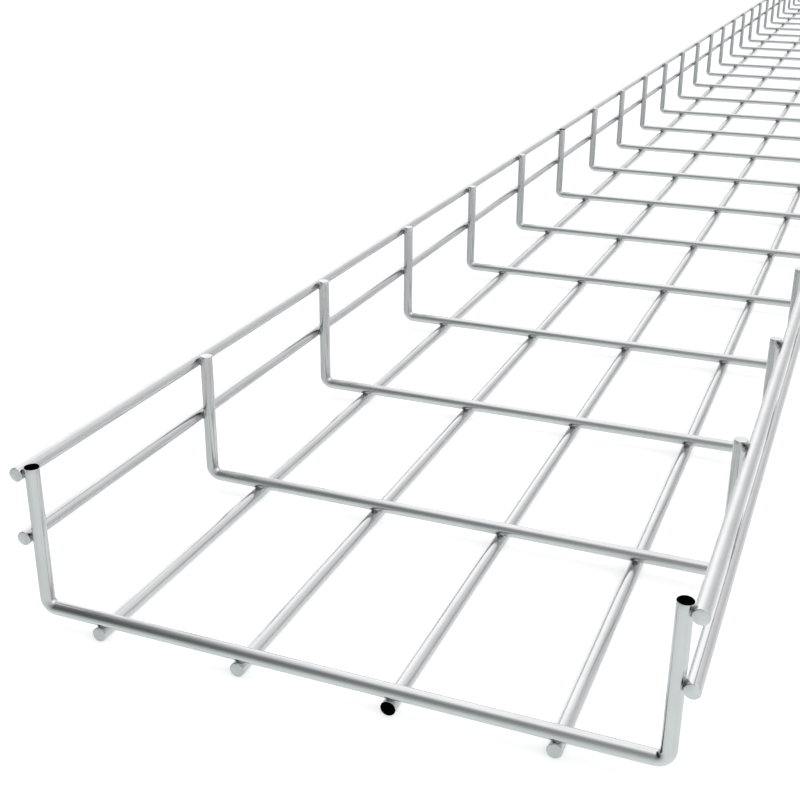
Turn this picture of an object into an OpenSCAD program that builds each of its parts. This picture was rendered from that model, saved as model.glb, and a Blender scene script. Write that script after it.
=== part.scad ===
// Wire mesh cable basket, one stock length.
//
// Round steel wires are bent into a U and stand one bay apart. Straight wires
// run the whole length outside them and are resistance welded at every crossing:
// four under the base, two on the outer face of each side. Each weld sinks the
// wires into each other a little, so every cross wire has a shallow round seat
// for each straight wire.
//
// Frame: +X across the basket, +Y along it away from the near end, +Z up. The
// origin is on the level floor, under the middle of the basket.

/* [Wire] */
// Diameter of the cross wires, which are bent into a U
cross_wire_d = 4.5; // [3.5:0.1:6]
// Diameter of the straight wires
long_wire_d = 4.5; // [3.5:0.1:6]
// How far two wires sink into each other at a weld
weld_sink = 0.25; // [0.1:0.05:0.5]

/* [Length] */
// Length of the straight wires, which is the length the basket is sold in
stock_l = 3005; // [505:100:3805]
// Distance from one cross wire to the next
bay_pitch = 100; // [75:5:200]

/* [Section] */
// Distance between the centre lines of the two upstands
upstand_spacing = 190; // [175:1:400]
// Height of an upstand's cut end above the base's centre line
upstand_h = 47.5; // [35:0.5:120]
// Radius of the bend between base and upstand, to the wire's centre line
bend_r = 3.25; // [3.25:0.25:9]

/* [Base wires] */
// Number of straight wires under the base
base_wire_count = 4; // [2:1:4]
// Distance from the left upstand's centre line to the first base wire
first_base_wire_inset = 19.5; // [12:0.5:30]
// Distance from one base wire to the next
base_wire_spacing = 47.2; // [20:0.1:50]

/* [Side wires] */
// Height of the lower side wires above the base's centre line
lower_side_wire_h = 23.75; // [14:0.25:26]
// Distance from an upstand's cut end down to the upper side wire
upper_side_wire_drop = 2.5; // [2.5:0.25:8]

/* [Hidden] */
$fn = 48;

// Centre to centre distance of two wires that are welded where they cross.
weld_spacing = (cross_wire_d + long_wire_d) / 2 - weld_sink;
// A seat's cutter reaches this far past the cross wire on both sides.
seat_clearance = 1;

// As many whole bays as fit, with the rest shared by the two ends.
bay_count = floor((stock_l - cross_wire_d) / bay_pitch);
bays_l = bay_count * bay_pitch;
cross_wire_count = bay_count + 1;

base_wire_z = long_wire_d / 2;
base_z = base_wire_z + weld_spacing;
upstand_x = upstand_spacing / 2;
side_wire_x = upstand_x + weld_spacing;
lower_side_wire_z = base_z + lower_side_wire_h;
upper_side_wire_z = base_z + upstand_h - upper_side_wire_drop;

function cross_wire_y(i) = (i - 1) * bay_pitch - bays_l / 2;
function base_wire_x(i) = first_base_wire_inset + (i - 1) * base_wire_spacing - upstand_x;

// Centre line of every straight wire, as [x, z].
long_wire_axes = concat(
    [for (i = [1 : base_wire_count]) [base_wire_x(i), base_wire_z]],
    [for (side = [-1, 1], z = [lower_side_wire_z, upper_side_wire_z]) [side * side_wire_x, z]]
);

function two_digits(i) = i < 10 ? str("0", i) : str(i);
function cross_wire_name(i) = str("cross_wire_", two_digits(i));
function base_wire_name(i) = str("base_wire_", i);

// A round bar along Y whose middle lies at [x, z].
module bar_along_y(axis, d, l) {
    translate([axis[0], l / 2, axis[1]])
        rotate([90, 0, 0])
            cylinder(d = d, h = l);
}

// Straight part of the U under the cables.
module cross_wire_base() {
    straight_l = upstand_spacing - 2 * bend_r;
    translate([-straight_l / 2, 0, base_z])
        rotate([0, 90, 0])
            cylinder(d = cross_wire_d, h = straight_l);
}

// Right bend and upstand of the U.
module cross_wire_arm() {
    translate([upstand_x - bend_r, 0, base_z + bend_r])
        rotate([90, 0, 0])
            rotate_extrude(angle = 90, start = 270)
                translate([bend_r, 0])
                    circle(d = cross_wire_d);
    translate([upstand_x, 0, base_z + bend_r])
        cylinder(d = cross_wire_d, h = upstand_h - bend_r);
}

// One U-bent wire with its weld seats, at y = 0.
module bent_wire() {
    difference() {
        union() {
            cross_wire_base();
            cross_wire_arm();
            mirror([1, 0, 0]) cross_wire_arm();
        }
        for (axis = long_wire_axes)
            bar_along_y(axis, long_wire_d, cross_wire_d + 2 * seat_clearance);
    }
}

module cross_wire(i) {
    color("silver")
        translate([0, cross_wire_y(i), 0])
            bent_wire();
}

module base_wire(i) {
    color("gainsboro")
        bar_along_y([base_wire_x(i), base_wire_z], long_wire_d, stock_l);
}

module side_wire(side, z) {
    color("lightgray")
        bar_along_y([side * side_wire_x, z], long_wire_d, stock_l);
}

module side_wire_left_lower() { side_wire(-1, lower_side_wire_z); }
module side_wire_left_upper() { side_wire(-1, upper_side_wire_z); }
module side_wire_right_lower() { side_wire(1, lower_side_wire_z); }
module side_wire_right_upper() { side_wire(1, upper_side_wire_z); }

for (i = [1 : cross_wire_count])
    cross_wire(i);
for (i = [1 : base_wire_count])
    base_wire(i);
side_wire_left_lower();
side_wire_left_upper();
side_wire_right_lower();
side_wire_right_upper();
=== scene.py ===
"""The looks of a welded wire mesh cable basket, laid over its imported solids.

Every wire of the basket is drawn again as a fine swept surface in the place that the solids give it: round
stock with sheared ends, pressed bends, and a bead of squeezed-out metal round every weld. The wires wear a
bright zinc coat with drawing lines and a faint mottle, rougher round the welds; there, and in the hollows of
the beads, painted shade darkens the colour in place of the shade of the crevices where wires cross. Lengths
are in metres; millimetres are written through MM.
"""

import logging
import math
from dataclasses import dataclass, field
from enum import Enum, IntEnum
from typing import ClassVar

import bpy
import numpy as np
from mathutils import Matrix, Vector


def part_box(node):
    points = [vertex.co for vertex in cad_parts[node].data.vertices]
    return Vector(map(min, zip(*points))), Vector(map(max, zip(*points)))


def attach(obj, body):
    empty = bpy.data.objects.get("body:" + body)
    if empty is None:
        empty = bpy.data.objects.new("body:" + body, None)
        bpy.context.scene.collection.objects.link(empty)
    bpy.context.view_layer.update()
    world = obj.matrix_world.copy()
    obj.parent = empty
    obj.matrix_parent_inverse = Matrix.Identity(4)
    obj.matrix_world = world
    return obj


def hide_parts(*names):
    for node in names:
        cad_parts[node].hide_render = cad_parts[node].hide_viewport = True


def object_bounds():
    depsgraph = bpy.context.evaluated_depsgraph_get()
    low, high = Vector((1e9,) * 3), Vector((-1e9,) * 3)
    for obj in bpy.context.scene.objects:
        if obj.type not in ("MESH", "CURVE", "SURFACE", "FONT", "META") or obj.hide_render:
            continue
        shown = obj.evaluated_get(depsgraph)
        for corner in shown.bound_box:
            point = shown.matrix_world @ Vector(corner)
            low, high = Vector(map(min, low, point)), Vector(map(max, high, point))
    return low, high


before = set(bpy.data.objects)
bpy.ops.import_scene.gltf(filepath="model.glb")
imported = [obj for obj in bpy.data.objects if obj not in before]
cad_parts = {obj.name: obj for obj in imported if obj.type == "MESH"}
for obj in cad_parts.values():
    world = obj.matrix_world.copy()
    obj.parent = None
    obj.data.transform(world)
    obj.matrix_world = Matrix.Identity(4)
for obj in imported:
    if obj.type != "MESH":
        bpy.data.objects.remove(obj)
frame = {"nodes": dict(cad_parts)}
CAD_LOW, CAD_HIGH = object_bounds()

Colour = tuple[float, float, float, float]
Direction = tuple[float, float, float]

MM = 0.001
BODY = "root"
WIRE_SPACE = "wire_space"
WELD_NEARNESS = "weld_nearness"
WHITE: Colour = (1.0, 1.0, 1.0, 1.0)
ALONG: Direction = (0.0, 1.0, 0.0)
RIGHT: Direction = (1.0, 0.0, 0.0)
LEFT: Direction = (-1.0, 0.0, 0.0)
UP: Direction = (0.0, 0.0, 1.0)
MIDDLE: Direction = (0.0, 0.0, 0.0)
BASE_WIRES = ("base_wire_1", "base_wire_2", "base_wire_3", "base_wire_4")
LEFT_SIDE_WIRES = ("side_wire_left_lower", "side_wire_left_upper")
RIGHT_SIDE_WIRES = ("side_wire_right_lower", "side_wire_right_upper")
# Centre-line radius of the cross wires' bends, the one size that no box of a solid gives.
BEND_RADIUS = 3.25 * MM
# Distance from a weld at which its nearness, which masks the painted weld shade, has fallen to about a third.
WELD_REACH = 2.3 * MM
# No ring of a wire's skin lies nearer to its cut ends than this.
END_MARGIN = 0.8 * MM

log = logging.getLogger("cable_basket")


class EndCut(Enum):
    """The way a wire's end was cropped and what the cut face looks like."""

    BRIGHT = "bright"
    BLACKENED = "blackened"


class Skin(IntEnum):
    """The places of a wire that take different finishes, in the order of its material slots."""

    ZINC = 0
    START_CUT = 1
    END_CUT = 2
    WELD_BEAD = 3


# ---- Sizes, read from the solids ----


@dataclass(frozen=True)
class BasketSizes:
    """The basket's wire positions, taken from the boxes of its solids.

    Attributes:
        wire_radius: radius of the drawn wire.
        upstand_x: distance of the upstands' centre lines from the middle plane.
        base_z: height of the cross wires' flat part, at its centre line.
        top_z: height of the upstands' cut ends.
        cross_y: place of every cross wire along the basket.
        long_axes: node name to the (x, z) of each lengthways wire's centre line.
        near_y: near end of the lengthways wires.
        far_y: far end of the lengthways wires.
        bend_radius: centre-line radius of the cross wires' bends.
    """

    wire_radius: float
    upstand_x: float
    base_z: float
    top_z: float
    cross_y: tuple[float, ...]
    long_axes: dict[str, tuple[float, float]]
    near_y: float
    far_y: float
    bend_radius: float = BEND_RADIUS

    @classmethod
    def from_frame(cls, nodes: dict[str, bpy.types.Object]) -> "BasketSizes":
        """Measures the solids.

        Args:
            nodes: the frame's nodes by name.

        Returns:
            The sizes that every class below builds from.
        """
        boxes = [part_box(name) for name in sorted(nodes) if name.startswith("cross_wire_")]
        low, high = boxes[0]
        long_boxes = {name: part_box(name) for name in BASE_WIRES + LEFT_SIDE_WIRES + RIGHT_SIDE_WIRES}
        first_low, first_high = long_boxes[BASE_WIRES[0]]
        radius = (first_high.x - first_low.x) / 2
        return cls(
            wire_radius=radius,
            upstand_x=high.x - radius,
            base_z=low.z + radius,
            top_z=high.z,
            cross_y=tuple((lo.y + hi.y) / 2 for lo, hi in boxes),
            long_axes={name: ((lo.x + hi.x) / 2, (lo.z + hi.z) / 2) for name, (lo, hi) in long_boxes.items()},
            near_y=first_low.y,
            far_y=first_high.y,
        )


# ---- Surfaces ----


@dataclass
class Surface:
    """A mesh in the making: corner points, faces, a skin for each face, and the two wire attributes.

    Attributes:
        points: corner points, one row of three each.
        faces: lists of corner numbers, each turning anticlockwise as seen from outside.
        skins: the Skin value of every face.
        wire_space: for each point, where it lies round the wire (cosine, sine) and along it (metres).
        weld_nearness: for each point, 1 at a weld and falling to 0 away from it; it masks the painted weld
            shade.
    """

    points: np.ndarray
    faces: list[np.ndarray]
    skins: list[np.ndarray]
    wire_space: np.ndarray
    weld_nearness: np.ndarray

    def joined(self, other: "Surface") -> "Surface":
        """Adds another surface to this one as a loose shell.

        Args:
            other: the surface to add.

        Returns:
            Both in one surface.
        """
        shift = len(self.points)
        return Surface(
            points=np.vstack([self.points, other.points]),
            faces=self.faces + [block + shift for block in other.faces],
            skins=self.skins + other.skins,
            wire_space=np.vstack([self.wire_space, other.wire_space]),
            weld_nearness=np.concatenate([self.weld_nearness, other.weld_nearness]),
        )

    def to_object(self, name: str, materials: list[bpy.types.Material]) -> bpy.types.Object:
        """Writes the surface into a mesh object at the origin.

        Args:
            name: the piece's name.
            materials: its finishes, in the order of Skin.

        Returns:
            The new object, linked to the scene.
        """
        mesh = bpy.data.meshes.new(name)
        faces = [face for block in self.faces for face in block.tolist()]
        mesh.from_pydata(self.points, [], faces, shade_flat=False)
        for material in materials:
            mesh.materials.append(material)
        mesh.polygons.foreach_set("material_index", np.concatenate(self.skins).astype(np.int32))
        space = mesh.attributes.new(WIRE_SPACE, "FLOAT_VECTOR", "POINT")
        space.data.foreach_set("vector", self.wire_space.astype(np.float32).ravel())
        # Nearness to the welds, the mask of the painted weld shade
        nearness = mesh.attributes.new(WELD_NEARNESS, "FLOAT", "POINT")
        nearness.data.foreach_set("value", self.weld_nearness.astype(np.float32))
        mesh.validate()
        piece = bpy.data.objects.new(name, mesh)
        bpy.context.scene.collection.objects.link(piece)
        return piece


def grid_faces(rows: int, columns: int, wrap_rows: bool = False) -> np.ndarray:
    """Joins a grid of points into four-sided faces; the columns always wrap round.

    Corner (i, j) goes to (i + 1, j), (i + 1, j + 1) and (i, j + 1), so the outside is on the side of
    (direction of rows) x (direction of columns).

    Args:
        rows: number of grid rows.
        columns: number of points in each row.
        wrap_rows: True where the last row also joins the first, as on a ring.

    Returns:
        One row of four corner numbers for each face.
    """
    i, j = np.meshgrid(np.arange(rows if wrap_rows else rows - 1), np.arange(columns), indexing="ij")
    down, right = (i + 1) % rows, (j + 1) % columns
    corners = [i * columns + j, down * columns + j, down * columns + right, i * columns + right]
    return np.stack([corner.ravel() for corner in corners], axis=1)


@dataclass(frozen=True)
class ShearedEnd:
    """The shape of a cropped wire end, as rings that shrink from the wire's skin to the face's middle.

    The shear first rolls the wire's edge over on one side, then the metal tears and leaves a shallow slanted
    face: depth below the cut = edge rounding + roll-over x (toward the roll side)^2 x (distance from the
    middle)^4 + a low three-lobed unevenness of the torn face.

    Attributes:
        turn: where round the wire the rolled side is, in radians.
        blackened: True where the cut face's finish also covers the rounded rim.
        edge: rounding of the rim.
        roll: how far the rolled side drops.
        tear: height of the torn face's unevenness.
        rim_turns: how far round the rim each of its rings lies, in degrees.
        face_shares: radii of the rings on the cut face, as shares of the rim's last one.
    """

    turn: float
    blackened: bool
    edge: float = 0.12 * MM
    roll: float = 0.10 * MM
    tear: float = 0.035 * MM
    rim_turns: tuple[float, ...] = (0.0, 30.0, 60.0, 90.0)
    face_shares: tuple[float, ...] = (0.93, 0.66, 0.33)

    def rings(self, radius: float, angles: np.ndarray) -> tuple[np.ndarray, np.ndarray]:
        """Works out the end's rings from the skin inwards.

        Args:
            radius: the wire's radius.
            angles: the angles of the wire's sides.

        Returns:
            The rings' radii as shares of the wire's, and how deep each of their points lies below the cut.
        """
        bend = np.radians(self.rim_turns)
        rim = 1 - self.edge / radius * (1 - np.cos(bend))
        share = np.concatenate([rim, rim[-1] * np.array(self.face_shares)])
        rounding = np.concatenate([self.edge * (1 - np.sin(bend)), np.zeros(len(self.face_shares))])
        toward = np.clip(np.cos(angles - self.turn), 0, 1) ** 2
        roll = self.roll * toward[None, :] * share[:, None] ** 4
        lobes = 1 + np.sin(3 * angles + 2 * self.turn)
        tear = self.tear * lobes[None, :] * share[:, None] ** 2
        return share, rounding[:, None] + roll + tear

    def dressed_rows(self) -> int:
        """Returns how many rows of faces take the cut face's finish: the rim's too if it is blackened."""
        return len(self.face_shares) + (len(self.rim_turns) - 1 if self.blackened else 0)


@dataclass(frozen=True)
class CentreLine:
    """A wire's centre line at its ring stations.

    Attributes:
        along: distance of each station from the wire's start.
        centre: the stations' points.
        tangent: the direction of the wire there.
        normal: a direction square to it, from which the angles round the wire are counted.
    """

    along: np.ndarray
    centre: np.ndarray
    tangent: np.ndarray
    normal: np.ndarray


def nearness_to_welds(points: np.ndarray, welds: np.ndarray) -> np.ndarray:
    """Gives each point exp(-(distance to the nearest weld / WELD_REACH)^2), the mask of the painted weld
    shade.
    """
    nearest = ((points[:, None] - welds) ** 2).sum(axis=2).min(axis=1)
    return np.exp(-nearest / WELD_REACH**2)


def swept_wire(
    line: CentreLine, radius: float, sides: int, ends: tuple[ShearedEnd, ShearedEnd], welds: np.ndarray
) -> Surface:
    """Carries a circle along a centre line and closes both ends with their sheared faces.

    A point is centre + tangent x depth + radius x share x (cos(angle) x normal + sin(angle) x side), where
    side is normal x tangent, share is 1 on the wire and shrinks over the end faces, and depth is 0 except on
    the end faces.

    Args:
        line: the centre line, whose first and last stations are the cut ends.
        radius: the wire's radius.
        sides: how many points go round the wire.
        ends: shapes of the cuts at the first and the last station.
        welds: places of the welds on this wire.

    Returns:
        The closed surface.
    """
    angles = np.arange(sides) * 2 * math.pi / sides
    (start_share, start_depth), (end_share, end_depth) = (end.rings(radius, angles) for end in ends)
    inner = len(line.along) - 2
    station = np.repeat(np.arange(inner + 2), [len(start_share), *[1] * inner, len(end_share)])
    share = np.concatenate([start_share[::-1], np.ones(inner), end_share])
    depth = np.vstack([start_depth[::-1], np.zeros((inner, sides)), -end_depth])
    centre, tangent, normal = line.centre[station], line.tangent[station], line.normal[station]
    side = np.cross(normal, tangent)
    round_it = (
        np.cos(angles)[None, :, None] * normal[:, None] + np.sin(angles)[None, :, None] * side[:, None]
    )
    grid = (
        centre[:, None] + tangent[:, None] * depth[:, :, None] + radius * share[:, None, None] * round_it
    )
    rows = len(station)
    poles = np.stack([
        line.centre[0] + line.tangent[0] * start_depth[-1].mean(),
        line.centre[-1] - line.tangent[-1] * end_depth[-1].mean(),
    ])
    points = np.vstack([grid.reshape(-1, 3), poles])
    first_pole, last_pole = rows * sides, rows * sides + 1
    column = np.arange(sides)
    after = (column + 1) % sides
    start_fan = np.stack([np.full(sides, first_pole), column, after], axis=1)
    end_row = (rows - 1) * sides
    end_fan = np.stack([np.full(sides, last_pole), end_row + after, end_row + column], axis=1)
    row_of_face = np.repeat(np.arange(rows - 1), sides)
    first_cap, last_cap = (end.dressed_rows() for end in ends)
    skins = np.where(row_of_face < first_cap, Skin.START_CUT, Skin.ZINC)
    skins = np.where(row_of_face >= rows - 1 - last_cap, Skin.END_CUT, skins)
    space = np.column_stack([
        np.outer(share, np.cos(angles)).ravel(),
        np.outer(share, np.sin(angles)).ravel(),
        np.repeat(line.along[station], sides) + depth.ravel(),
    ])
    return Surface(
        points=points,
        faces=[grid_faces(rows, sides), start_fan, end_fan],
        skins=[skins, np.full(sides, Skin.START_CUT), np.full(sides, Skin.END_CUT)],
        wire_space=np.vstack([space, [[0, 0, line.along[0]], [0, 0, line.along[-1]]]]),
        weld_nearness=nearness_to_welds(points, welds),
    )


@dataclass(frozen=True)
class WeldBead:
    """The metal that resistance welding squeezes out of a crossing: a lumpy ring between the wires.

    Attributes:
        ring: distance of the bead's centre from the middle of the weld.
        wide: half width of the bead, outwards.
        swell: how much fuller than the crevice the bead is.
        lump: size of the lumps in the bead's outline.
        waves: how many times each of the lumps' waves goes round the ring.
        wave_range: smallest and largest share of its full size that a wave takes.
        unevenness: how much the bead's width and swell vary round the ring.
        crevice_range: least and greatest half height of the crevice that the bead fills.
        around: points round the ring.
        across: points round the bead.
    """

    ring: float = 1.27 * MM
    wide: float = 0.27 * MM
    swell: float = 0.06 * MM
    lump: float = 0.16 * MM
    waves: tuple[int, ...] = (2, 3, 4)
    wave_range: tuple[float, float] = (0.35, 1.0)
    unevenness: float = 0.22
    crevice_range: tuple[float, float] = (0.02 * MM, 0.7 * MM)
    around: int = 12
    across: int = 5

    def surface(
        self, welds: np.ndarray, across: Direction, outward: Direction, radius: float, gap: float,
        rng: np.random.Generator,
    ) -> Surface:
        """Works out the beads of all the welds on one lengthways wire at once.

        In the weld's own plane the ring's radius is ring + three random waves of lump. The saddle between two
        equal crossed wires stands (a^2 - b^2) / (4 radius) above that plane, a along the lengthways wire and
        b across it, and half the crevice is (gap - sqrt(r^2 - a^2) - sqrt(r^2 - b^2)) / 2. The bead is an
        ellipse of half width wide and of that half height + swell, carried round the ring on the saddle.

        Args:
            welds: the middles of the welds.
            across: direction of the cross wires.
            outward: direction from the lengthways wire's axis to the cross wires'.
            radius: radius of both wires.
            gap: distance between the two axes.
            rng: the source of the lumps.

        Returns:
            All the beads as closed rings in one surface.
        """
        lengthways, crossways, outwards = np.array(ALONG), np.array(across), np.array(outward)
        turn = np.arange(self.around) * 2 * math.pi / self.around
        spin = np.arange(self.across) * 2 * math.pi / self.across
        waves = np.array(self.waves)[None, :, None]
        draws = (len(welds), len(self.waves), 1)
        phase = rng.uniform(0, 2 * math.pi, draws)
        height = rng.uniform(*self.wave_range, draws) / waves**0.5
        reach = self.ring + self.lump * (height * np.sin(waves * turn + phase)).sum(axis=1)
        fat = 1 + self.unevenness * np.sin(turn[None, :] * 3 + phase[:, 0])
        spoke = reach[:, :, None] + self.wide * fat[:, :, None] * np.cos(spin)
        a = spoke * np.cos(turn)[None, :, None]
        b = spoke * np.sin(turn)[None, :, None]
        ring_a, ring_b = reach * np.cos(turn), reach * np.sin(turn)
        under = np.sqrt(np.clip(radius**2 - ring_a**2, 0, None))
        over = np.sqrt(np.clip(radius**2 - ring_b**2, 0, None))
        half = np.clip((gap - under - over) / 2, *self.crevice_range) + self.swell * fat
        saddle = (ring_a**2 - ring_b**2) / (4 * radius)
        lift = saddle[:, :, None] + half[:, :, None] * np.sin(spin)
        grid = (
            welds[:, None, None]
            + a[..., None] * lengthways
            + b[..., None] * crossways
            + lift[..., None] * outwards
        )
        ring = grid_faces(self.around, self.across, wrap_rows=True)
        if np.dot(np.cross(lengthways, crossways), outwards) > 0:
            ring = ring[:, ::-1]
        each = self.around * self.across
        faces = (ring[None] + np.arange(len(welds))[:, None, None] * each).reshape(-1, 4)
        points = grid.reshape(-1, 3)
        return Surface(
            points=points,
            faces=[faces],
            skins=[np.full(len(faces), Skin.WELD_BEAD)],
            wire_space=(points - np.repeat(welds, each, axis=0)) / radius,
            weld_nearness=np.ones(len(points)),
        )


# ---- Shader building ----


class NodeSheet:
    """A node tree with short calls for adding nodes, setting their sockets and joining them."""

    def __init__(self, tree: bpy.types.NodeTree) -> None:
        """Empties the tree and keeps it."""
        self.tree = tree
        tree.nodes.clear()

    def add(
        self, kind: str, inputs: dict[str | int, object] | None = None, **settings: object
    ) -> bpy.types.Node:
        """Adds one node.

        Args:
            kind: the node's Blender type, without its "ShaderNode" where that comes first.
            inputs: socket names or numbers to a value, an output, or a node whose first output is meant.
            settings: properties of the node.

        Returns:
            The new node.
        """
        node = self.tree.nodes.new(kind if kind.startswith("NodeGroup") else "ShaderNode" + kind)
        for name, value in settings.items():
            setattr(node, name, value)
        for key, value in (inputs or {}).items():
            source = value.outputs[0] if isinstance(value, bpy.types.Node) else value
            if isinstance(source, bpy.types.NodeSocket):
                self.tree.links.new(source, node.inputs[key])
            else:
                node.inputs[key].default_value = source
        return node

    def math(self, operation: str, *values: object) -> bpy.types.NodeSocket:
        """Adds a Math node on the given values or sockets and returns its output."""
        return self.add("Math", dict(enumerate(values)), operation=operation).outputs[0]

    def blend(self, share: object, low: object, high: object) -> bpy.types.NodeSocket:
        """Adds a colour Mix from low to high by a share and returns its output."""
        node = self.add("Mix", {0: share, 6: low, 7: high}, data_type="RGBA", clamp_factor=True)
        return node.outputs[2]

    def ramp(
        self, value: object, low: float, high: float, to_low: float = 0.0, to_high: float = 1.0
    ) -> bpy.types.NodeSocket:
        """Adds a clamped Map Range from (low, high) to (to_low, to_high) and returns its output."""
        inputs = {0: value, 1: low, 2: high, 3: to_low, 4: to_high}
        return self.add("MapRange", inputs, clamp=True).outputs[0]

    def noise(self, where: object, scale: object, **more: float) -> bpy.types.NodeSocket:
        """Adds a Noise Texture with its Scale and any of its other inputs and returns its value."""
        named = {name.capitalize(): value for name, value in more.items()}
        return self.add("TexNoise", {"Vector": where, "Scale": scale, **named}).outputs[0]

    def bump(self, height: object, distance: float, strength: float) -> bpy.types.NodeSocket:
        """Adds a Bump on a height and returns its normal."""
        return self.add("Bump", {"Strength": strength, "Distance": distance, "Height": height}).outputs[0]

    def attribute(self, name: str, output: str) -> bpy.types.NodeSocket:
        """Reads one of the mesh's own attributes and returns the named output."""
        return self.add("Attribute", attribute_name=name, attribute_type="GEOMETRY").outputs[output]

    def position(self) -> bpy.types.NodeSocket:
        """Returns the piece's own coordinates."""
        return self.add("TexCoord").outputs["Object"]

    def group(self, tree: bpy.types.NodeTree, inputs: dict[str, object]) -> bpy.types.bpy_prop_collection:
        """Places a shared node group with its own input values and returns its outputs."""
        return self.add("Group", inputs, node_tree=tree).outputs


def new_group(
    name: str, takes: dict[str, float | Direction], gives: tuple[str, ...]
) -> tuple[NodeSheet, bpy.types.bpy_prop_collection]:
    """Starts a shader node group.

    Args:
        name: the group's name.
        takes: input names to their first value, a number or a vector.
        gives: names of its value outputs.

    Returns:
        The group's sheet and the sockets that carry its inputs.
    """
    tree = bpy.data.node_groups.new(name, "ShaderNodeTree")
    for label, value in takes.items():
        kind = "NodeSocketVector" if isinstance(value, tuple) else "NodeSocketFloat"
        tree.interface.new_socket(label, in_out="INPUT", socket_type=kind).default_value = value
    for label in gives:
        tree.interface.new_socket(label, in_out="OUTPUT", socket_type="NodeSocketFloat")
    sheet = NodeSheet(tree)
    return sheet, sheet.add("NodeGroupInput").outputs


@dataclass(frozen=True)
class SharedEffects:
    """The node groups that more than one finish uses.

    Attributes:
        drawing_lines: fine lines that the drawing die leaves along a wire.
        zinc_mottle: slow and fine clouds of a zinc coat.
        weld_shade: a ragged mask round each weld for painted shade of the crevice and for rougher zinc.
        soft_panel: the light that a large soft panel sends from its direction.
    """

    drawing_lines: bpy.types.NodeTree
    zinc_mottle: bpy.types.NodeTree
    weld_shade: bpy.types.NodeTree
    soft_panel: bpy.types.NodeTree

    @classmethod
    def made(cls) -> "SharedEffects":
        """Builds all the groups and returns them."""
        return cls(cls._drawing_lines(), cls._zinc_mottle(), cls._weld_shade(), cls._soft_panel())

    @staticmethod
    def _drawing_lines() -> bpy.types.NodeTree:
        """Makes noise on (cosine, sine, length), stretched along the length, so that it has no seam.

        Returns:
            The group.
        """
        takes = {"Wire Space": MIDDLE, "Fineness": 9.0, "Stretch": 40.0}
        sheet, given = new_group("Drawing lines", takes, ("Lines", "Broad"))
        parts = sheet.add("SeparateXYZ", {0: given["Wire Space"]}).outputs
        scales = (given["Fineness"], given["Fineness"], given["Stretch"])
        scaled = {axis: sheet.math("MULTIPLY", parts[axis], scale) for axis, scale in enumerate(scales)}
        where = sheet.add("CombineXYZ", scaled).outputs[0]
        sheet.add("NodeGroupOutput", {
            "Lines": sheet.noise(where, scale=1.0, detail=3.0, roughness=0.6),
            "Broad": sheet.noise(where, scale=0.22, detail=1.0),
        })
        return sheet.tree

    @staticmethod
    def _zinc_mottle() -> bpy.types.NodeTree:
        """Makes slow clouds and fine grain in the coat from the piece's own coordinates.

        Returns:
            The group.
        """
        takes = {"Position": MIDDLE, "Cloud Scale": 60.0, "Grain Scale": 1400.0}
        sheet, given = new_group("Zinc mottle", takes, ("Clouds", "Grain"))
        sheet.add("NodeGroupOutput", {
            "Clouds": sheet.noise(given["Position"], given["Cloud Scale"], detail=3.0),
            "Grain": sheet.noise(given["Position"], given["Grain Scale"], detail=2.0),
        })
        return sheet.tree

    @staticmethod
    def _weld_shade() -> bpy.types.NodeTree:
        """Makes the painted weld shade mask from weld nearness, with its edge broken up by noise.

        Returns:
            The group.
        """
        takes = {"Nearness": 0.0, "Position": MIDDLE, "Start": 0.25}
        sheet, given = new_group("Weld shade", takes, ("Mask",))
        raggedness = 0.5
        ragged = sheet.noise(given["Position"], scale=900.0, detail=2.0)
        push = sheet.math("MULTIPLY_ADD", ragged, raggedness, -raggedness / 2)
        over = sheet.math("SUBTRACT", sheet.math("ADD", given["Nearness"], push), given["Start"])
        sheet.add("NodeGroupOutput", {"Mask": sheet.ramp(over, low=0.0, high=0.45)})
        return sheet.tree

    @staticmethod
    def _soft_panel() -> bpy.types.NodeTree:
        """Makes strength x exp(tightness x (cosine of the angle to the panel - 1)).

        Returns:
            The group.
        """
        takes = {"Direction": UP, "Facing": UP, "Tightness": 6.0, "Strength": 1.0}
        sheet, given = new_group("Soft panel", takes, ("Light",))
        directions = {0: given["Direction"], 1: given["Facing"]}
        cosine = sheet.add("VectorMath", directions, operation="DOT_PRODUCT").outputs["Value"]
        power = sheet.math("MULTIPLY", sheet.math("SUBTRACT", cosine, 1.0), given["Tightness"])
        glow = sheet.math("EXPONENT", power)
        sheet.add("NodeGroupOutput", {"Light": sheet.math("MULTIPLY", glow, given["Strength"])})
        return sheet.tree


def new_material(name: str) -> tuple[bpy.types.Material, NodeSheet]:
    """Starts a material and returns it with its emptied node sheet."""
    material = bpy.data.materials.new(name)
    material.use_nodes = True
    return material, NodeSheet(material.node_tree)


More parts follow.
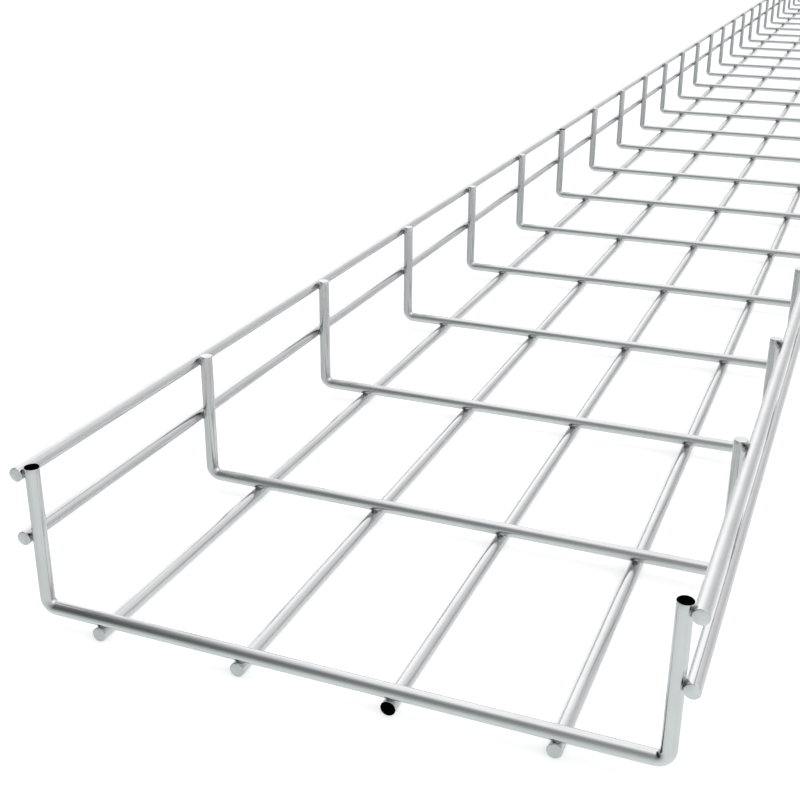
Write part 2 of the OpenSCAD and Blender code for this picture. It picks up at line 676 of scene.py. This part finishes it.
@dataclass(frozen=True)
class ZincCoat:
    """The bright zinc coat on the drawn wires, with painted shade darkening it round the welds.

    Attributes:
        bright: colour of the clean coat.
        cloudy: colour of its slightly duller clouds and streaks.
        painted_weld_shade: painted shade round a weld, a darker colour for the shade in the crevice of the
            crossing.
        streaked: how much of the cloudy colour a streak takes.
        roughness: roughness of the clean coat.
        line_wear: how much the drawing lines change the roughness.
        cloud_wear: how much rougher the clouds are.
        weld_roughening: how much rougher the zinc round a weld is.
        line_depth: height of the drawing lines.
        grain_share: height of the coat's grain, as a share of the lines'.
    """

    bright: Colour = (0.602, 0.606, 0.612, 1.0)
    cloudy: Colour = (0.562, 0.566, 0.572, 1.0)
    painted_weld_shade: Colour = (0.48, 0.495, 0.495, 1.0)
    streaked: float = 0.6
    roughness: float = 0.165
    line_wear: float = 0.10
    cloud_wear: float = 0.05
    weld_roughening: float = 0.22
    line_depth: float = 0.012 * MM
    grain_share: float = 0.35

    def material(self, shared: SharedEffects) -> bpy.types.Material:
        """Builds the material.

        Args:
            shared: the shared node groups.

        Returns:
            The zinc coat.
        """
        material, sheet = new_material("zinc_coat")
        space, nearness = sheet.attribute(WIRE_SPACE, "Vector"), sheet.attribute(WELD_NEARNESS, "Fac")
        place = sheet.position()
        lines = sheet.group(shared.drawing_lines, {"Wire Space": space, "Fineness": 9.0, "Stretch": 38.0})
        mottle = sheet.group(
            shared.zinc_mottle, {"Position": place, "Cloud Scale": 75.0, "Grain Scale": 1500.0},
        )
        # Painted shade: round each weld the coat is darkened to stand for the shade in the crevice between
        # the crossed wires.
        shade_mask = sheet.group(shared.weld_shade, {"Nearness": nearness, "Position": place, "Start": 0.50})["Mask"]
        cloud = sheet.ramp(mottle["Clouds"], low=0.40, high=0.66)
        streak = sheet.ramp(lines["Broad"], low=0.42, high=0.62, to_high=self.streaked)
        clean = sheet.blend(sheet.math("MAXIMUM", cloud, streak), self.bright, self.cloudy)
        lowest = self.roughness - self.line_wear / 2
        wear = sheet.math("MULTIPLY_ADD", lines["Lines"], self.line_wear, lowest)
        clouded = sheet.math("MULTIPLY_ADD", mottle["Clouds"], self.cloud_wear, wear)
        grain = sheet.math("MULTIPLY", mottle["Grain"], self.grain_share)
        height = sheet.math("ADD", lines["Lines"], grain)
        coat = sheet.add("BsdfPrincipled", {
            # The base colour goes over to the painted weld shade round the welds.
            "Base Color": sheet.blend(shade_mask, clean, self.painted_weld_shade),
            "Metallic": 1.0,
            "Roughness": sheet.math("MULTIPLY_ADD", shade_mask, self.weld_roughening, clouded),
            "Normal": sheet.bump(height, self.line_depth, strength=0.35),
        })
        sheet.add("OutputMaterial", {"Surface": coat})
        return material


@dataclass(frozen=True)
class CutFace:
    """A cropped wire end: torn steel with the zinc wiped over it.

    Attributes:
        name: the material's name.
        burnished: colour of the sheared, smoother side.
        torn: colour of the torn side.
        roughness: roughness of the torn side.
        metallic: how metallic the face is.
        sheen: strength of the plain reflection on a face that isn't metallic.
        raggedness: how far its clouds push the edge between the two sides.
        wear: how much its grain changes the roughness.
        ridge: height of the torn side's ridges.
    """

    name: str
    burnished: Colour
    torn: Colour
    roughness: float
    metallic: float
    sheen: float = 0.5
    raggedness: float = 1.2
    wear: float = 0.2
    ridge: float = 0.03 * MM

    def material(self, shared: SharedEffects) -> bpy.types.Material:
        """Builds the material.

        Args:
            shared: the shared node groups.

        Returns:
            The cut face's finish.
        """
        material, sheet = new_material(self.name)
        mottle = sheet.group(
            shared.zinc_mottle, {"Position": sheet.position(), "Cloud Scale": 700.0, "Grain Scale": 4200.0},
        )
        rolled = sheet.add("SeparateXYZ", {0: sheet.attribute(WIRE_SPACE, "Vector")}).outputs["X"]
        edge = sheet.math("MULTIPLY_ADD", mottle["Clouds"], self.raggedness, rolled)
        torn = sheet.ramp(edge, low=0.25, high=1.1)
        ridges = sheet.math("ADD", mottle["Clouds"], mottle["Grain"])
        smoothest = self.roughness - self.wear / 2
        face = sheet.add("BsdfPrincipled", {
            "Base Color": sheet.blend(torn, self.burnished, self.torn),
            "Metallic": self.metallic,
            "Roughness": sheet.math("MULTIPLY_ADD", mottle["Grain"], self.wear, smoothest),
            "Specular IOR Level": self.sheen,
            "Normal": sheet.bump(ridges, self.ridge, strength=0.5),
        })
        sheet.add("OutputMaterial", {"Surface": face})
        return material


@dataclass(frozen=True)
class BeadFinish:
    """The metal of the weld beads, with painted shade darkening the hollows of its relief.

    Attributes:
        hollow_shade: painted shade in the bead's hollows, where its relief is low.
        light: colour of its crests.
        roughness: roughness of its smoothest parts.
        wear: how much rougher its grain makes it.
        metallic: how metallic it is.
        lumpiness: height of its fine lumps.
    """

    hollow_shade: Colour = (0.20, 0.212, 0.210, 1.0)
    light: Colour = (0.55, 0.57, 0.565, 1.0)
    roughness: float = 0.30
    wear: float = 0.25
    metallic: float = 0.85
    lumpiness: float = 0.08 * MM

    def material(self, shared: SharedEffects) -> bpy.types.Material:
        """Builds the material.

        Args:
            shared: the shared node groups.

        Returns:
            The beads' finish.
        """
        material, sheet = new_material("weld_bead")
        mottle = sheet.group(
            shared.zinc_mottle, {"Position": sheet.position(), "Cloud Scale": 900.0, "Grain Scale": 3800.0},
        )
        # Painted shade: the clouds that raise the bead's relief also darken its colour where the relief is
        # low.
        crests = sheet.ramp(mottle["Clouds"], low=0.36, high=0.66)
        bead = sheet.add("BsdfPrincipled", {
            "Base Color": sheet.blend(crests, self.hollow_shade, self.light),
            "Metallic": self.metallic,
            "Roughness": sheet.math("MULTIPLY_ADD", mottle["Grain"], self.wear, self.roughness),
            "Normal": sheet.bump(mottle["Clouds"], self.lumpiness, strength=0.8),
        })
        sheet.add("OutputMaterial", {"Surface": bead})
        return material


@dataclass(frozen=True)
class Finishes:
    """All the finishes of the basket, each made once.

    Attributes:
        zinc: the coat of the wires.
        cuts: the face of a cut end for each kind of cut.
        bead: the weld beads.
    """

    zinc: bpy.types.Material
    cuts: dict[EndCut, bpy.types.Material]
    bead: bpy.types.Material

    @classmethod
    def made(cls, shared: SharedEffects) -> "Finishes":
        """Makes every finish once.

        Args:
            shared: the shared node groups.

        Returns:
            The finishes.
        """
        bright = CutFace(
            "cut_end", (0.60, 0.612, 0.612, 1.0), (0.54, 0.555, 0.555, 1.0), roughness=0.26, metallic=1.0,
        )
        black = CutFace(
            "blackened_cut_end", (0.0012, 0.0012, 0.0012, 1.0), (0.0005, 0.0005, 0.0005, 1.0),
            roughness=0.9, metallic=0.0, sheen=0.0,
        )
        cuts = {EndCut.BRIGHT: bright.material(shared), EndCut.BLACKENED: black.material(shared)}
        return cls(ZincCoat().material(shared), cuts, BeadFinish().material(shared))

    def slots(self, start: EndCut, end: EndCut) -> list[bpy.types.Material]:
        """Returns a wire's materials in the order of Skin."""
        return [self.zinc, self.cuts[start], self.cuts[end], self.bead]


# ---- The wires ----


def ring_stations(start: float, end: float, places: np.ndarray) -> np.ndarray:
    """Puts a wire's cut ends before and after the places between them, which it sorts."""
    inside = places[(places > start + END_MARGIN) & (places < end - END_MARGIN)]
    return np.concatenate([[start], np.unique(inside), [end]])


@dataclass
class Wire:
    """What the straight and the bent wires share: a solid to stand for, and two cut ends.

    Attributes:
        node: name of its solid.
        sizes: the basket's sizes.
        cuts: kinds of cut at its start and at its end.
        seed: seed of its cuts and welds.
        sides: points round the wire.
        made_by: the last word of the finished piece's name.
        weld_rings: where rings lie on both sides of a weld, from its middle.
    """

    node: str
    sizes: BasketSizes
    cuts: tuple[EndCut, EndCut]
    seed: int

    sides: ClassVar[int]
    made_by: ClassVar[str]
    weld_rings: ClassVar[np.ndarray]

    def ends(self, rng: np.random.Generator) -> tuple[ShearedEnd, ShearedEnd]:
        """Draws how both cuts are turned and returns their shapes."""
        turns = rng.uniform(0, 2 * math.pi, 2)
        start, end = (ShearedEnd(turn, cut is EndCut.BLACKENED) for turn, cut in zip(turns, self.cuts))
        return start, end

    def build(self) -> Surface:
        """Returns the wire's surface, which each kind of wire works out."""
        raise NotImplementedError

    def dress(self, finishes: Finishes) -> bpy.types.Object:
        """Builds the wire, gives it its finishes and sets it in the place of its solid.

        Args:
            finishes: the basket's finishes.

        Returns:
            The finished piece, which rides on the body and replaces the node.
        """
        piece = self.build().to_object(f"{self.node}_{self.made_by}", finishes.slots(*self.cuts))
        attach(piece, BODY)
        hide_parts(self.node)
        return piece


@dataclass
class LongWire(Wire):
    """A straight wire that runs the length of the basket and carries the weld beads of its crossings.

    Attributes:
        toward: direction from this wire's axis to the cross wires that it is welded to.
        across: direction of the cross wires where they pass it.
    """

    toward: Direction
    across: Direction

    sides = 24
    made_by = "drawn"
    weld_rings = MM * np.array([-11.0, -6.0, -3.6, -2.3, -1.4, -0.5, 0.5, 1.4, 2.3, 3.6, 6.0, 11.0])

    def stations(self) -> np.ndarray:
        """Places rings close together at every weld and far apart between them, along Y."""
        at_welds = (np.array(self.sizes.cross_y)[:, None] + self.weld_rings).ravel()
        return ring_stations(self.sizes.near_y, self.sizes.far_y, at_welds)

    def axis(self, y: np.ndarray) -> np.ndarray:
        """Returns the points of the wire's axis at the given places along the basket."""
        x, z = self.sizes.long_axes[self.node]
        return np.column_stack([np.full(len(y), x), y, np.full(len(y), z)])

    def weld_gap(self) -> float:
        """Returns the distance between this wire's axis and the cross wires' axes."""
        x, z = self.sizes.long_axes[self.node]
        return self.sizes.base_z - z if self.toward[2] else abs(x) - self.sizes.upstand_x

    def build(self) -> Surface:
        """Sweeps the wire and adds its beads, half way between the two wires' axes.

        Returns:
            The wire's surface.
        """
        rng = np.random.default_rng(self.seed)
        y = self.stations()
        line = CentreLine(
            along=y - y[0],
            centre=self.axis(y),
            tangent=np.tile(ALONG, (len(y), 1)),
            normal=np.tile(self.toward, (len(y), 1)),
        )
        radius, gap = self.sizes.wire_radius, self.weld_gap()
        welds = self.axis(np.array(self.sizes.cross_y)) + np.array(self.toward) * gap / 2
        wire = swept_wire(line, radius, self.sides, self.ends(rng), welds)
        return wire.joined(WeldBead().surface(welds, self.across, self.toward, radius, gap, rng))


@dataclass
class CrossWire(Wire):
    """A wire bent to a U: a flat base part and two upstands.

    Attributes:
        y: its place along the basket.
        bend_rings: how many rings make a bend.
    """

    y: float

    sides = 28
    made_by = "bent"
    weld_rings = MM * np.array([-6.0, -3.4, -2.0, -0.7, 0.7, 2.0, 3.4, 6.0])
    bend_rings: ClassVar[int] = 11

    def lengths(self) -> tuple[float, float, float, float]:
        """Measures the parts of the U along its centre line.

        Returns:
            The lengths of an upstand's straight part, a bend, the base's straight part and the whole U.
        """
        arm = self.sizes.top_z - self.sizes.base_z - self.sizes.bend_radius
        bend = self.sizes.bend_radius * math.pi / 2
        base = 2 * (self.sizes.upstand_x - self.sizes.bend_radius)
        return arm, bend, base, 2 * (arm + bend) + base

    def path(self, along: np.ndarray) -> CentreLine:
        """Follows the U from the left upstand's top to the right one's.

        Down the upstand, a quarter circle about the bend's centre, along the base, a quarter circle, and up
        again. The normal always points to the inside of the U.

        Args:
            along: distances from the left top.

        Returns:
            The centre line at those distances.
        """
        arm, bend, base, _ = self.lengths()
        size = self.sizes
        turn = size.bend_radius
        first = np.clip(along - arm, 0, bend) / turn
        second = np.clip(along - arm - bend - base, 0, bend) / turn
        heading = first + second - math.pi / 2
        down = np.minimum(along, arm)
        level = np.clip(along - arm - bend, 0, base)
        up = np.clip(along - arm - 2 * bend - base, 0, arm)
        x = -size.upstand_x + turn * (1 - np.cos(first)) + level + turn * np.sin(second)
        z = size.top_z - down - turn * np.sin(first) + turn * (1 - np.cos(second)) + up
        flat = np.zeros_like(along)
        return CentreLine(
            along=along,
            centre=np.column_stack([x, flat + self.y, z]),
            tangent=np.column_stack([np.cos(heading), flat, np.sin(heading)]),
            normal=np.column_stack([-np.sin(heading), flat, np.cos(heading)]),
        )

    def weld_stations(self) -> np.ndarray:
        """Finds where the lengthways wires cross this wire.

        Returns:
            The distances along the U from its left top.
        """
        arm, bend, _, whole = self.lengths()
        size = self.sizes
        left = [size.top_z - size.long_axes[name][1] for name in LEFT_SIDE_WIRES]
        flat = arm + bend + size.upstand_x - size.bend_radius
        base = [flat + size.long_axes[name][0] for name in BASE_WIRES]
        return np.array(left + base + [whole - place for place in left])

    def stations(self) -> np.ndarray:
        """Places rings close together in the bends and at the welds.

        Returns:
            The rings' distances along the U, with the two cut ends first and last.
        """
        arm, bend, _, whole = self.lengths()
        at_welds = (self.weld_stations()[:, None] + self.weld_rings).ravel()
        steps = np.linspace(0, bend, self.bend_rings)
        spread = np.concatenate([at_welds, arm + steps, whole - arm - bend + steps])
        return ring_stations(0.0, whole, spread.round(6))

    def welds(self) -> np.ndarray:
        """Places this wire's welds half way between its axis and the lengthways wires' axes.

        Returns:
            One point for each weld.
        """
        points = []
        for name, (x, z) in self.sizes.long_axes.items():
            if name in BASE_WIRES:
                points.append((x, self.y, (z + self.sizes.base_z) / 2))
            else:
                points.append((math.copysign((abs(x) + self.sizes.upstand_x) / 2, x), self.y, z))
        return np.array(points)

    def build(self) -> Surface:
        """Sweeps the U and returns its surface."""
        ends = self.ends(np.random.default_rng(self.seed))
        return swept_wire(self.path(self.stations()), self.sizes.wire_radius, self.sides, ends, self.welds())


@dataclass
class CableBasket:
    """The whole basket: the lengthways wires and the bent cross wires.

    Attributes:
        sizes: its sizes.
        blackened_tops: cross wire number to its (left, right) kinds of cut, where one is blackened.
        blackened_long: lengthways wires whose near cut is blackened.
        long_seed: seed of the first lengthways wire.
        cross_seed: seed that the cross wires' numbers are added to.
    """

    sizes: BasketSizes
    blackened_tops: dict[int, tuple[EndCut, EndCut]] = field(default_factory=lambda: {
        1: (EndCut.BLACKENED, EndCut.BLACKENED),
        7: (EndCut.BLACKENED, EndCut.BRIGHT),
    })
    blackened_long: tuple[str, ...] = ("base_wire_3",)
    long_seed: int = 40
    cross_seed: int = 200

    def long_wires(self) -> list[LongWire]:
        """Lists the lengthways wires: four under the base and two outside each side.

        Returns:
            The wires, ready to build.
        """
        places = {name: (UP, RIGHT) for name in BASE_WIRES}
        places |= {name: (RIGHT, UP) for name in LEFT_SIDE_WIRES}
        places |= {name: (LEFT, UP) for name in RIGHT_SIDE_WIRES}
        wires = []
        for seed, (name, (toward, across)) in enumerate(places.items(), start=self.long_seed):
            near_cut = EndCut.BLACKENED if name in self.blackened_long else EndCut.BRIGHT
            wires.append(LongWire(name, self.sizes, (near_cut, EndCut.BRIGHT), seed, toward, across))
        return wires

    def cross_wires(self) -> list[CrossWire]:
        """Lists the cross wires from the near end to the far end.

        Returns:
            The wires, ready to build.
        """
        wires = []
        for number, y in enumerate(self.sizes.cross_y, start=1):
            cuts = self.blackened_tops.get(number, (EndCut.BRIGHT, EndCut.BRIGHT))
            wires.append(CrossWire(f"cross_wire_{number:02d}", self.sizes, cuts, self.cross_seed + number, y))
        return wires

    def build(self, finishes: Finishes) -> list[bpy.types.Object]:
        """Builds and dresses every wire.

        Args:
            finishes: the basket's finishes.

        Returns:
            The finished pieces.
        """
        pieces = []
        for wire in [*self.long_wires(), *self.cross_wires()]:
            piece = wire.dress(finishes)
            log.info("%s: %d faces", piece.name, len(piece.data.polygons))
            pieces.append(piece)
        return pieces


# ---- The studio ----


def facing(azimuth: float, elevation: float) -> Direction:
    """Returns the unit direction at an azimuth from +Y toward +X and an elevation, both in degrees."""
    a, e = math.radians(azimuth), math.radians(elevation)
    return math.sin(a) * math.cos(e), math.cos(a) * math.cos(e), math.sin(e)


@dataclass(frozen=True)
class SoftPanel:
    """One large soft part of the studio's light, brighter or darker than the rest.

    Attributes:
        azimuth: its direction, in degrees from +Y toward +X.
        elevation: its height, in degrees.
        tightness: how quickly it fades away from its middle.
        strength: light that it adds, or takes away where it is negative.
    """

    azimuth: float
    elevation: float
    tightness: float
    strength: float


@dataclass(frozen=True)
class Studio:
    """A pale floor under an even white surround with a few soft panels.

    Attributes:
        surround: strength of the even surround.
        panels: the soft panels.
        darkest: least strength that the panels leave anywhere.
        shaded: strength at which the surround has its full cast.
        shade_tint: faint cool cast of the surround's shaded side.
        floor_half: half the floor's side.
        floor_colour: colour of the floor.
        floor_seen: glow that makes the floor read as white to the eye.
        floor_mirrored: glow that makes it read as white in the metal.
        floor_steep: how much more it glows where the metal sees it from straight above.
        floor_satin: how strongly it mirrors the studio at a grazing angle, as the metal sees it.
        floor_tint: faint green cast of the floor's glow in the metal.
    """

    surround: float = 0.76
    panels: tuple[SoftPanel, ...] = (
        SoftPanel(-16.0, 24.0, 14.9, 0.81),
        SoftPanel(-45.0, 18.0, 27.8, 0.95),
        SoftPanel(-37.0, 55.0, 18.8, 1.08),
        SoftPanel(-128.0, 70.0, 45.0, 0.29),
        SoftPanel(-173.0, 38.0, 8.2, -0.18),
        SoftPanel(-71.0, 48.0, 9.8, -1.20),
        SoftPanel(72.0, 54.0, 7.5, 1.20),
        SoftPanel(-69.0, 72.0, 29.7, 0.78),
        SoftPanel(-122.0, 17.0, 4.8, -0.78),
        SoftPanel(-100.0, 80.0, 30.0, 0.18),
    )
    darkest: float = 0.02
    shaded: float = 0.10
    shade_tint: Colour = (0.91, 1.0, 1.02, 1.0)
    floor_half: float = 9.0
    floor_colour: Colour = (0.80, 0.80, 0.80, 1.0)
    floor_seen: float = 0.50
    floor_mirrored: float = 0.385
    floor_steep: float = 0.13
    floor_satin: float = 0.95
    floor_tint: Colour = (0.87, 1.0, 0.985, 1.0)

    def light(self, shared: SharedEffects) -> None:
        """Sets up the world: white to the eye, and the surround with its panels to everything else.

        Args:
            shared: the shared node groups.
        """
        world = bpy.data.worlds.new("studio")
        bpy.context.scene.world = world
        world.use_nodes = True
        sheet = NodeSheet(world.node_tree)
        direction = sheet.add("TexCoord").outputs["Generated"]
        total = self.surround
        for panel in self.panels:
            glow = sheet.group(shared.soft_panel, {
                "Direction": direction, "Facing": facing(panel.azimuth, panel.elevation),
                "Tightness": panel.tightness, "Strength": panel.strength,
            })
            total = sheet.math("ADD", glow["Light"], total)
        share = sheet.ramp(total, low=self.shaded, high=self.surround)
        cast = sheet.blend(share, self.shade_tint, WHITE)
        lit = sheet.add("Background", {"Color": cast, "Strength": sheet.math("MAXIMUM", total, self.darkest)})
        seen = sheet.add("Background", {"Color": WHITE, "Strength": 1.0})
        eye = sheet.add("LightPath").outputs["Is Camera Ray"]
        sheet.add("OutputWorld", {"Surface": sheet.add("MixShader", {0: eye, 1: lit, 2: seen})})

    def floor(self) -> bpy.types.Object:
        """Lays the floor at the basket's underside.

        Its material is a matt pale grey that keeps the shadow, with a glow for the eye and for reflections.
        From below it lets the view through.

        Returns:
            The floor.
        """
        half, level = self.floor_half, float(CAD_LOW.z)
        corners = [(-half, -half, level), (half, -half, level), (half, half, level), (-half, half, level)]
        mesh = bpy.data.meshes.new("studio_floor")
        mesh.from_pydata(corners, [], [(0, 1, 2, 3)])
        piece = bpy.data.objects.new("studio_floor", mesh)
        bpy.context.scene.collection.objects.link(piece)
        material, sheet = new_material("studio_floor")
        ray = sheet.add("LightPath").outputs
        grain = sheet.bump(sheet.noise(sheet.position(), scale=220.0), distance=0.1 * MM, strength=0.02)
        matt = sheet.add("BsdfDiffuse", {"Color": self.floor_colour, "Roughness": 0.4, "Normal": grain})
        eye = sheet.math("MULTIPLY", ray["Is Camera Ray"], self.floor_seen)
        grazing = sheet.add("LayerWeight", {"Blend": 0.5}).outputs["Facing"]
        steep = self.floor_mirrored + self.floor_steep
        above = sheet.ramp(grazing, low=0.0, high=0.45, to_low=steep, to_high=self.floor_mirrored)
        mirror = sheet.math("MULTIPLY", ray["Is Glossy Ray"], above)
        white = sheet.add("Emission", {"Color": WHITE, "Strength": eye})
        tinted = sheet.add("Emission", {"Color": self.floor_tint, "Strength": mirror})
        plain = sheet.add("AddShader", {0: matt, 1: sheet.add("AddShader", {0: white, 1: tinted})})
        sheen = sheet.ramp(grazing, low=0.36, high=1.05, to_high=self.floor_satin)
        share = sheet.math("MULTIPLY", sheen, ray["Is Glossy Ray"])
        satin = sheet.add("BsdfGlossy", {"Color": WHITE, "Roughness": 0.3})
        top = sheet.add("MixShader", {0: share, 1: plain, 2: satin})
        back = sheet.add("NewGeometry").outputs["Backfacing"]
        both = sheet.add("MixShader", {0: back, 1: top, 2: sheet.add("BsdfTransparent")})
        sheet.add("OutputMaterial", {"Surface": both})
        mesh.materials.append(material)
        return piece


@dataclass(frozen=True)
class Viewpoint:
    """The camera at one corner of the basket's near end, looking down along it.

    Attributes:
        beside: its place across the basket, from the middle plane.
        before: its distance before the near end of the lengthways wires.
        above: its height over the floor.
        azimuth: its direction, in degrees from +Y toward +X.
        elevation: its tilt, in degrees; negative looks down.
        roll: its turn about its own axis, in degrees.
        lens: focal length in millimetres.
        sensor: width of the sensor in millimetres.
        reach: the nearest and the farthest distance that it sees.
    """

    beside: float = 123.777 * MM
    before: float = 253.783 * MM
    above: float = 209.430 * MM
    azimuth: float = -21.833
    elevation: float = -22.716
    roll: float = 0.316
    lens: float = 54.482
    sensor: float = 36.0
    reach: tuple[float, float] = (0.01, 60.0)

    def place(self, sizes: BasketSizes) -> bpy.types.Object:
        """Makes the camera and makes it the scene's.

        Args:
            sizes: the basket's sizes, for its near end.

        Returns:
            The camera.
        """
        data = bpy.data.cameras.new("viewpoint")
        data.sensor_width = self.sensor
        data.lens = self.lens
        data.clip_start, data.clip_end = self.reach
        data.dof.use_dof = False
        camera = bpy.data.objects.new("viewpoint", data)
        ahead = Vector(facing(self.azimuth, self.elevation))
        level = ahead.cross(Vector(UP)).normalized()
        axes = Matrix((level, level.cross(ahead), -ahead)).transposed().to_4x4()
        spot = Vector((self.beside, sizes.near_y - self.before, self.above))
        roll = Matrix.Rotation(math.radians(self.roll), 4, "Z")
        camera.matrix_world = Matrix.Translation(spot) @ axes @ roll
        bpy.context.scene.collection.objects.link(camera)
        bpy.context.scene.camera = camera
        return camera


def main() -> None:
    """Builds the basket and its studio, in order."""
    logging.basicConfig(level=logging.INFO, format="%(name)s: %(message)s")
    bpy.context.scene.view_settings.view_transform = "Standard"
    sizes = BasketSizes.from_frame(frame["nodes"])
    shared = SharedEffects.made()
    finishes = Finishes.made(shared)
    pieces = CableBasket(sizes).build(finishes)
    log.info("%d pieces, %d faces", len(pieces), sum(len(piece.data.polygons) for piece in pieces))
    studio = Studio()
    studio.light(shared)
    log.info("%s laid", studio.floor().name)
    log.info("%s placed", Viewpoint().place(sizes).name)


if __name__ == "__main__":
    main()
